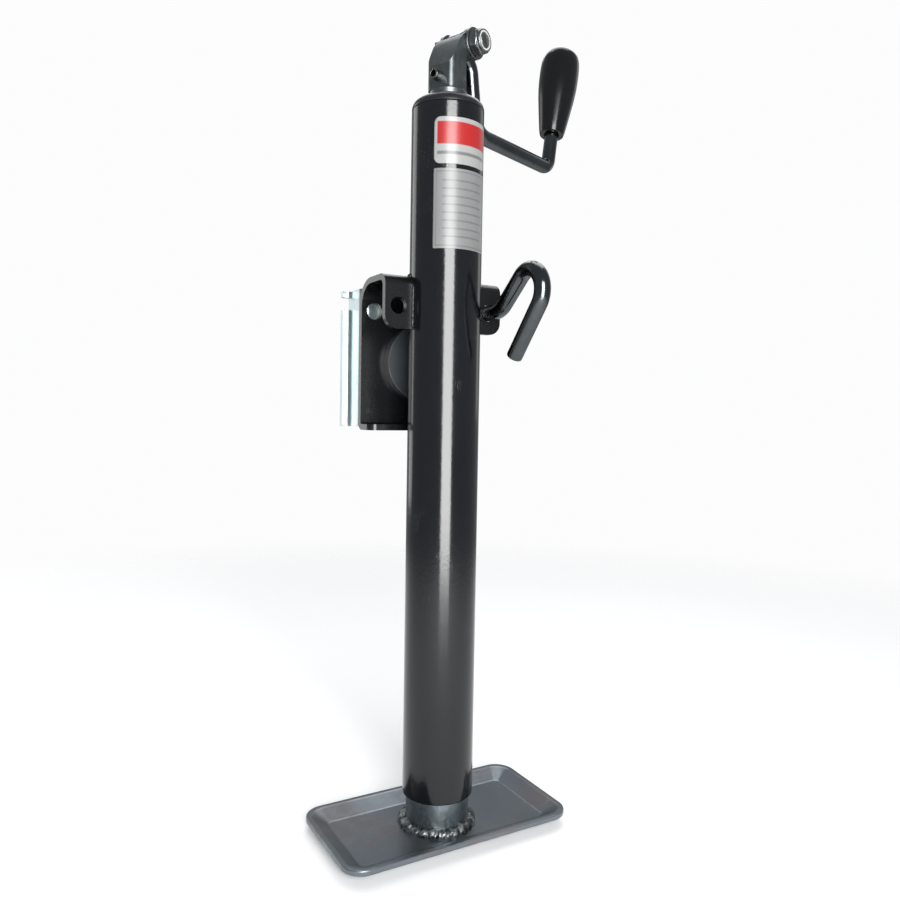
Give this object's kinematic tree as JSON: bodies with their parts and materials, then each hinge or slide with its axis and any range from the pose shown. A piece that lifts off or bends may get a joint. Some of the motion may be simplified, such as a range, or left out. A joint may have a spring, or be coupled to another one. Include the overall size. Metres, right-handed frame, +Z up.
{
  "type": "trailer tongue jack",
  "caption": "Upright screw jack for a trailer tongue: steel tube on a rectangular foot, folding top crank with a grip, and a pin-locked swivel bracket.",
  "frame": {"origin": "on the ground plane under the tube's axis, at the underside of the foot", "axes": "+Z up along the tube, +X along the foot's long side, +Y back towards the trailer frame"},
  "size_m": [0.2807, 0.1718, 0.6897],
  "materials": {
    "outer_tube": "satin black paint",
    "top_cap": "gloss black paint",
    "screw_bush": "oiled bronze",
    "guide_key": "plain steel, oiled",
    "bearing_race_upper": "plain steel, oiled",
    "swivel_bracket": "satin black paint",
    "swivel_hub": "gloss black paint",
    "hub_washer": "bright zinc plate, softly streaked",
    "hub_snap_ring": "black phosphated spring steel",
    "lead_screw": "greased rolled steel",
    "bearing_race_lower": "plain steel, oiled",
    "screw_end_washer": "bright zinc plate, softly streaked",
    "screw_end_clip": "black phosphated spring steel",
    "top_collar": "bright zinc plate, softly streaked",
    "handle_bracket": "bright zinc plate, softly streaked",
    "cross_pin": "spring steel",
    "pivot_bolt": "bright zinc plate, softly streaked",
    "pivot_washer": "bright zinc plate, softly streaked",
    "pivot_nut": "bright zinc plate, softly streaked",
    "pivot_spacers": "black nylon",
    "bearing_cage": "pressed brass",
    "bearing_balls": "polished ball steel",
    "crank_rod": "bright zinc plate, softly streaked",
    "grip_clip": "black phosphated spring steel",
    "handle_grip": "glossy moulded black plastic",
    "inner_ram": "zinc-plated tube",
    "drive_nut": "sintered iron",
    "nut_pins": "plain steel, oiled",
    "foot_plate": "bluish zinc plate with stains",
    "foot_weld": "bright rippled weld",
    "pull_pin": "bright zinc plate, softly streaked",
    "pin_clip": "black phosphated spring steel",
    "frame_bracket": "bright zinc plate, softly streaked"
  },
  "bodies": {
    "jack_body": {"outer_tube": "outer_tube", "top_cap": "top_cap", "screw_bush": "screw_bush", "guide_key": "guide_key", "bearing_race_upper": "bearing_race_upper", "swivel_bracket": "swivel_bracket", "swivel_hub": "swivel_hub", "hub_washer": "hub_washer", "hub_snap_ring": "hub_snap_ring"},
    "screw": {"lead_screw": "lead_screw", "bearing_race_lower": "bearing_race_lower", "screw_end_washer": "screw_end_washer", "screw_end_clip": "screw_end_clip", "top_collar": "top_collar", "handle_bracket": "handle_bracket", "cross_pin": "cross_pin", "pivot_bolt": "pivot_bolt", "pivot_washer": "pivot_washer", "pivot_nut": "pivot_nut", "pivot_spacers": "pivot_spacers"},
    "ball_cage": {"bearing_cage": "bearing_cage", "bearing_balls": "bearing_balls"},
    "crank": {"crank_rod": "crank_rod", "grip_clip": "grip_clip"},
    "grip": {"handle_grip": "handle_grip"},
    "ram": {"inner_ram": "inner_ram", "drive_nut": "drive_nut", "nut_pins": "nut_pins", "foot_plate": "foot_plate", "foot_weld": "foot_weld"},
    "pull_pin": {"pull_pin": "pull_pin", "pin_clip": "pin_clip"},
    "frame_mount": {"frame_bracket": "frame_bracket"}
  },
  "joints": [
    {"name": "crank_turn", "type": "hinge", "parent": "jack_body", "child": "screw", "pos_m": [0, 0, 0.6], "axis": [0, 0, -1], "range_deg": [0, 27000]},
    {"name": "cage_turn", "type": "hinge", "parent": "jack_body", "child": "ball_cage", "pos_m": [0, 0, 0.573], "axis": [0, 0, -1], "range_deg": [0, 13500]},
    {"name": "ram_travel", "type": "slide", "parent": "jack_body", "child": "ram", "axis": [0, 0, -1], "range_m": [0, 0.381]},
    {"name": "crank_fold", "type": "hinge", "parent": "screw", "child": "crank", "pos_m": [0.01416, 0.0063, 0.631], "axis": [0.4067, -0.9135, 0], "range_deg": [0, 95]},
    {"name": "grip_spin", "type": "hinge", "parent": "crank", "child": "grip", "pos_m": [0.1584, 0.07052, 0.64628], "axis": [0.1821, 0.0811, 0.9799], "continuous": true},
    {"name": "pin_slide", "type": "slide", "parent": "jack_body", "child": "pull_pin", "axis": [0, 1, 0], "range_m": [0, 0.01]},
    {"name": "swivel", "type": "hinge", "parent": "jack_body", "child": "frame_mount", "pos_m": [0, 0.0527, 0.38], "axis": [0, -1, 0], "range_deg": [0, 90]}
  ],
  "couplings": [
    {"joint": "ram_travel", "follows": "crank_turn", "m_per_rad": 0.00080851},
    {"joint": "cage_turn", "follows": "crank_turn", "ratio": 0.5}
  ]
}
